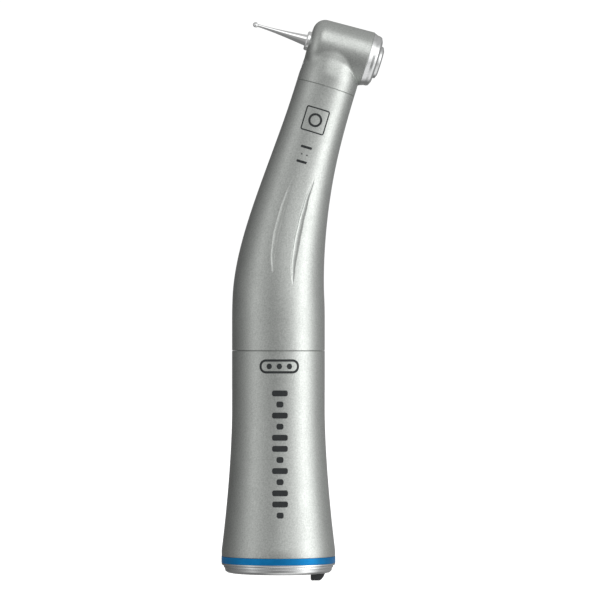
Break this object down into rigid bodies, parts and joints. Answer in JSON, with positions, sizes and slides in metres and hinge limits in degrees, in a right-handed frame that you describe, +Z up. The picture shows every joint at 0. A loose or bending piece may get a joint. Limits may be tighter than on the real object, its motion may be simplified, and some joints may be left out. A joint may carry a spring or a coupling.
{
  "type": "contra angle dental handpiece",
  "caption": "Bent handpiece with a push-button chuck head, round bur, satin metal grip, blue ring and an open rear coupling; its bevel-gear drive is inside.",
  "frame": {"origin": "centre of the rear end face, on the axis of the motor coupling", "axes": "+Z up the handle axis towards the head, the neck leans towards +X in the XZ plane, the bur points towards -X, and the push button faces +X"},
  "size_m": [0.029, 0.0202, 0.0998],
  "materials": {
    "titanium": "fine blasted satin titanium",
    "steel": "ground stainless steel",
    "polished_steel": "mirror polished",
    "spring_steel": "drawn wire",
    "gear_steel": "coated, satin",
    "bearing_steel": "ground and polished",
    "cage": "machined resin",
    "rubber": "smooth",
    "blue": "glossy ring",
    "lug": "dark coated"
  },
  "bodies": {
    "handpiece": {"head_housing": "titanium", "head_cap": "polished_steel", "front_grip_shell": "titanium", "rear_sleeve": "titanium", "colour_ring": "blue", "end_ring": "polished_steel", "coupling_tube": "steel", "coupling_lug": "lug", "sleeve_seal_ring": "rubber", "neck_seal_ring": "rubber", "cap_seal_ring": "rubber", "spray_nozzle": "steel", "water_tube": "steel", "air_tube": "steel", "head_wave_washer": "spring_steel", "neck_tube": "steel", "shaft_carrier": "steel", "shaft_retaining_ring": "spring_steel", "button_spring": "spring_steel", "top_bearing_outer_race": "bearing_steel", "lower_bearing_outer_race": "bearing_steel", "neck_front_outer_race": "bearing_steel", "neck_rear_outer_race": "bearing_steel", "drive_front_outer_race": "bearing_steel", "drive_rear_outer_race": "bearing_steel"},
    "button": {"push_button": "polished_steel", "release_plunger": "steel"},
    "drive": {"drive_shaft": "steel", "drive_output_gear": "gear_steel", "drive_front_inner_race": "bearing_steel", "drive_rear_inner_race": "bearing_steel", "dog_spring": "spring_steel", "dog_clip": "spring_steel"},
    "dog": {"drive_dog": "steel"},
    "neck_drive": {"neck_shaft": "steel", "head_drive_gear": "gear_steel", "neck_input_gear": "gear_steel", "neck_front_inner_race": "bearing_steel", "neck_rear_inner_race": "bearing_steel"},
    "chuck": {"chuck_spindle": "steel", "chuck_nose_ring": "steel", "spindle_gear": "gear_steel", "latch_collet": "spring_steel", "top_bearing_inner_race": "bearing_steel", "lower_bearing_inner_race": "bearing_steel"},
    "tool": {"bur": "steel"},
    "top_ball_set": {"top_bearing_balls": "bearing_steel", "top_bearing_cage": "cage"},
    "lower_ball_set": {"lower_bearing_balls": "bearing_steel", "lower_bearing_cage": "cage"},
    "neck_front_ball_set": {"neck_front_balls": "bearing_steel", "neck_front_cage": "cage"},
    "neck_rear_ball_set": {"neck_rear_balls": "bearing_steel", "neck_rear_cage": "cage"},
    "drive_front_ball_set": {"drive_front_balls": "bearing_steel", "drive_front_cage": "cage"},
    "drive_rear_ball_set": {"drive_rear_balls": "bearing_steel", "drive_rear_cage": "cage"}
  },
  "joints": [
    {"name": "drive_spin", "type": "hinge", "parent": "handpiece", "child": "drive", "pos_m": [0, 0, 0.04], "axis": [0, 0, 1], "continuous": true},
    {"name": "neck_spin", "type": "hinge", "parent": "handpiece", "child": "neck_drive", "pos_m": [0.00439, 0, 0.07304], "axis": [0.2924, 0, 0.9563], "continuous": true},
    {"name": "chuck_spin", "type": "hinge", "parent": "handpiece", "child": "chuck", "pos_m": [0.0105, 0, 0.09303], "axis": [0.9563, 0, -0.2924], "continuous": true},
    {"name": "button_press", "type": "slide", "parent": "handpiece", "child": "button", "axis": [-0.9563, 0, 0.2924], "range_m": [0, 0.0006], "stiffness_N_per_m": 6000, "springref_m": -0.0004, "deforming": ["button_spring", "latch_collet"]},
    {"name": "tool_slide", "type": "slide", "parent": "chuck", "child": "tool", "axis": [-0.9563, 0, 0.2924], "range_m": [0, 0.02], "deforming": ["latch_collet"]},
    {"name": "dog_slide", "type": "slide", "parent": "drive", "child": "dog", "axis": [0, 0, 1], "range_m": [0, 0.0015], "stiffness_N_per_m": 1500, "springref_m": -0.0006, "deforming": ["dog_spring"]},
    {"name": "top_ball_orbit", "type": "hinge", "parent": "handpiece", "child": "top_ball_set", "pos_m": [0.01413, 0, 0.09192], "axis": [0.9563, 0, -0.2924], "continuous": true},
    {"name": "lower_ball_orbit", "type": "hinge", "parent": "handpiece", "child": "lower_ball_set", "pos_m": [0.00705, 0, 0.09408], "axis": [0.9563, 0, -0.2924], "continuous": true},
    {"name": "neck_front_ball_orbit", "type": "hinge", "parent": "handpiece", "child": "neck_front_ball_set", "pos_m": [0.00906, 0, 0.08835], "axis": [0.2924, 0, 0.9563], "continuous": true},
    {"name": "neck_rear_ball_orbit", "type": "hinge", "parent": "handpiece", "child": "neck_rear_ball_set", "pos_m": [0.00175, 0, 0.06444], "axis": [0.2924, 0, 0.9563], "continuous": true},
    {"name": "drive_front_ball_orbit", "type": "hinge", "parent": "handpiece", "child": "drive_front_ball_set", "pos_m": [0, 0, 0.053], "axis": [0, 0, 1], "continuous": true},
    {"name": "drive_rear_ball_orbit", "type": "hinge", "parent": "handpiece", "child": "drive_rear_ball_set", "pos_m": [0, 0, 0.038], "axis": [0, 0, 1], "continuous": true}
  ],
  "couplings": [
    {"joint": "neck_spin", "follows": "drive_spin", "ratio": 1},
    {"joint": "chuck_spin", "follows": "drive_spin", "ratio": 1},
    {"joint": "top_ball_orbit", "follows": "drive_spin", "ratio": 0.4273},
    {"joint": "lower_ball_orbit", "follows": "drive_spin", "ratio": 0.4111},
    {"joint": "neck_front_ball_orbit", "follows": "drive_spin", "ratio": 0.393},
    {"joint": "neck_rear_ball_orbit", "follows": "drive_spin", "ratio": 0.39},
    {"joint": "drive_front_ball_orbit", "follows": "drive_spin", "ratio": 0.3846},
    {"joint": "drive_rear_ball_orbit", "follows": "drive_spin", "ratio": 0.3846}
  ]
}
